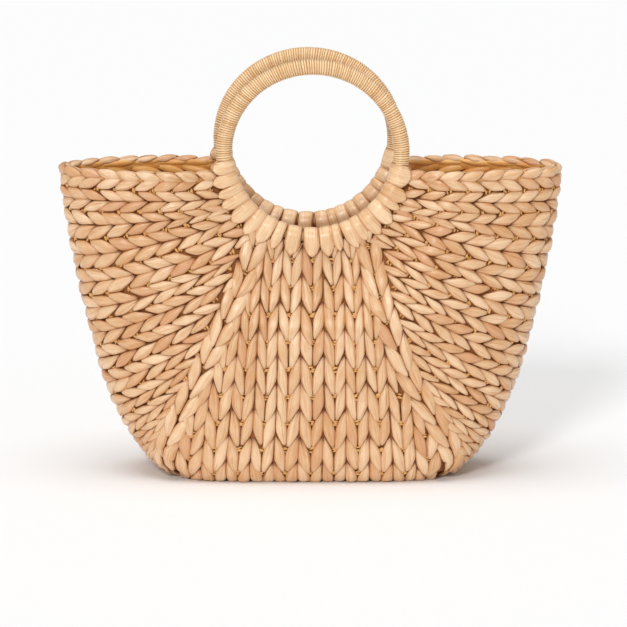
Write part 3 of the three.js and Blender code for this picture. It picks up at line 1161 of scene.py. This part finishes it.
# %% The straw and cord materials
def straw_material(name, tones, rough, grain, streak, painted_shade_strength):
    """Straw: its tones, roughness, height of the fibres, strength of streaks and of painted shade in
    creases.
    """
    light, middle, pink, warm_streak_and_shade, dark_streak_and_shade = [tone(*colour) for colour in tones]
    material, start, inputs = shader_of(name)
    strand = start.attribute("strand", "Vector")
    tint = start.attribute("tint", "Fac")
    painted_shade = start.attribute("painted_shade", "Fac")
    fibre = strand.scaled(0.62, 0.03, 1.0).noise(1.0, 3.0, 0.6)
    fine = strand.scaled(2.1, 0.07, 1.0).noise(1.0, 2.0, 0.6)
    blotch = strand.scaled(0.12, 0.07, 1.0).noise(1.0, 2.0, 0.5)
    pale = (tint * 0.9 + 0.05 + (blotch - 0.5) * 1.4 + (fibre - 0.5) * 0.8).clamped()
    rosy = ((0.11 - tint) * 7.0).clamped()
    colour = rosy.mix(pale.mix(middle, light), pink)
    # fibre streaks and painted shade together darken the straw towards warm brown, and the darkest parts
    # towards dark brown
    streak_and_shade = ((0.5 - fibre) * streak + (0.5 - fine) * streak * 0.8 + painted_shade * painted_shade_strength).clamped()
    dark = ((streak_and_shade - 0.45) * 1.8).clamped()
    dark.mix(streak_and_shade.mix(colour, warm_streak_and_shade), dark_streak_and_shade).drive(inputs["Base Color"])
    ((fibre - 0.5) * 0.25 + rough).drive(inputs["Roughness"])
    height = fibre * 0.6 + fine * 0.4
    bump = start.made("ShaderNodeBump", "Normal", Strength=grain, Distance=0.0009, Height=height)
    bump.drive(inputs["Normal"])
    inputs["Coat Weight"].default_value = 0.3
    inputs["Coat Roughness"].default_value = 0.28
    print("material", name)
    return material


# the tones are pale, middle, pinkish, then warm brown and dark brown for fibre streaks and for painted
# shade where strands meet and in creases
twined = straw_material(
    "twined_straw",
    [(245, 209, 168), (221, 170, 120), (220, 163, 120), (198, 122, 52), (98, 44, 10)],
    rough=0.30, grain=0.9, streak=1.5, painted_shade_strength=1.06,
)
# a copy of the straw for the inside rows and the rope's lining, more golden and with less painted shade:
# painted light, for the warm light that bounces inside the basket
inside_straw_painted_light = straw_material(
    "inside_straw_painted_light",
    [(250, 192, 112), (236, 168, 86), (218, 148, 78), (196, 124, 52), (150, 84, 30)],
    rough=0.5, grain=0.8, streak=1.0, painted_shade_strength=0.6,
)
strap_straw = straw_material(
    "strap_straw",
    [(251, 215, 172), (229, 182, 133), (220, 166, 124), (198, 128, 64), (110, 54, 16)],
    rough=0.26, grain=0.7, streak=1.3, painted_shade_strength=0.85,
)
cord_straw = straw_material(
    "cord_cane",
    [(250, 218, 172), (236, 196, 142), (222, 174, 118), (204, 138, 70), (140, 80, 32)],
    rough=0.24, grain=0.3, streak=0.6, painted_shade_strength=1.0,
)
stake_straw = straw_material(
    "stake_straw",
    [(236, 184, 112), (218, 160, 84), (206, 140, 70), (190, 120, 56), (112, 56, 20)],
    rough=0.35, grain=0.4, streak=0.8, painted_shade_strength=0.8,
)
stakes.data.materials.append(stake_straw)
for thing in (middle_front, middle_back, end_left, end_right):
    thing.data.materials.append(twined)
    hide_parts("basket_body")
for thing in inside_pieces:
    thing.data.materials.append(inside_straw_painted_light)
for thing, node in ((twist_left, "rim_rope_left"), (twist_right, "rim_rope_right")):
    thing.data.materials.append(twined)
    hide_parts(node)
for thing, node in ((lining_left, "rim_rope_left"), (lining_right, "rim_rope_right")):
    thing.data.materials.append(inside_straw_painted_light)
    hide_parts(node)
for thing, node in ((cord_front, "winding_front"), (cord_back, "winding_back")):
    thing.data.materials.append(cord_straw)
    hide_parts(node)
for thing, node in straps:
    thing.data.materials.append(strap_straw)
    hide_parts(node)


# %% The plain materials
def plain_material(name, colour, rough, spots):
    """One colour that varies a little from spot to spot."""
    material, start, inputs = shader_of(name)
    cloud = start.made("ShaderNodeTexCoord", "Object").noise(spots, 3.0, 0.6)
    darker = tuple(channel * 0.72 for channel in colour[:3]) + (1.0,)
    cloud.mix(darker, colour).drive(inputs["Base Color"])
    inputs["Roughness"].default_value = rough
    return material


shell_material = plain_material("stakes", tone(168, 100, 44), 0.75, 900.0)
rod_material = plain_material("cane_rod", tone(214, 168, 116), 0.5, 300.0)
core.data.materials.append(shell_material)
for node in ("hoop_front", "hoop_back"):
    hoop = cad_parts[node]
    hoop.data.materials.clear()
    hoop.data.materials.append(rod_material)

# %% [markdown]
# ## Floor, light and camera
#
# The photo is taken in a white studio: no edge between floor and wall, and only a soft shadow at the base.
# One large floor does for both, since the camera never sees past it. The air is white, a broad light
# from above models the strands, and a smaller one fills from the front and left.

# %% Floor
FLOOR_REACH = 30.0
FLOOR_FRONT = -8.0
FLOOR_BACK = 50.0
floor_mesh = bpy.data.meshes.new("studio_floor")
corners = [(-FLOOR_REACH, FLOOR_FRONT, 0), (FLOOR_REACH, FLOOR_FRONT, 0)]
corners += [(FLOOR_REACH, FLOOR_BACK, 0), (-FLOOR_REACH, FLOOR_BACK, 0)]
floor_mesh.from_pydata(corners, [], [(0, 1, 2, 3)])
floor = in_scene("studio_floor", floor_mesh)
floor_material, _, inputs = shader_of("studio_paper")
inputs["Base Color"].default_value = (0.97, 0.97, 0.972, 1.0)
inputs["Roughness"].default_value = 0.9
inputs["Specular IOR Level"].default_value = 0.1
floor_mesh.materials.append(floor_material)

# %% Light
world = bpy.data.worlds.new("studio_air")
bpy.context.scene.world = world
world.use_nodes = True
air = world.node_tree.nodes["Background"].inputs
air["Color"].default_value = (1.0, 1.0, 1.0, 1.0)
air["Strength"].default_value = 0.385


def shine(name, strength, breadth, direction):
    """A light from far away, as broad as so many degrees of the sky."""
    light = bpy.data.lights.new(name, "SUN")
    light.energy = strength
    light.angle = math.radians(breadth)
    thing = in_scene(name, light)
    thing.rotation_mode = "QUATERNION"
    thing.rotation_quaternion = Vector(direction).to_track_quat("-Z", "Y")
    print("light", name)


shine("key_light", 1.42, 45, (0.06, 0.1, -1.0))
shine("fill_light", 1.22, 12, (0.22, 0.84, -0.49))

# %% Camera
CAMERA_AWAY = 3.8
CAMERA_RISE = math.radians(11)
CAMERA_TARGET = Vector((0.0026, 0.0, 0.13705))
camera_data = bpy.data.cameras.new("photo_camera")
camera_data.lens = 253.11
camera_data.sensor_width = 36.0
camera_data.clip_end = 100.0
camera = in_scene("photo_camera", camera_data)
toward_camera = Vector((0, -math.cos(CAMERA_RISE), math.sin(CAMERA_RISE)))
camera.location = CAMERA_TARGET + toward_camera * CAMERA_AWAY
camera.rotation_mode = "QUATERNION"
camera.rotation_quaternion = (-toward_camera).to_track_quat("-Z", "Y")
bpy.context.scene.camera = camera
bpy.context.scene.view_settings.view_transform = "Standard"
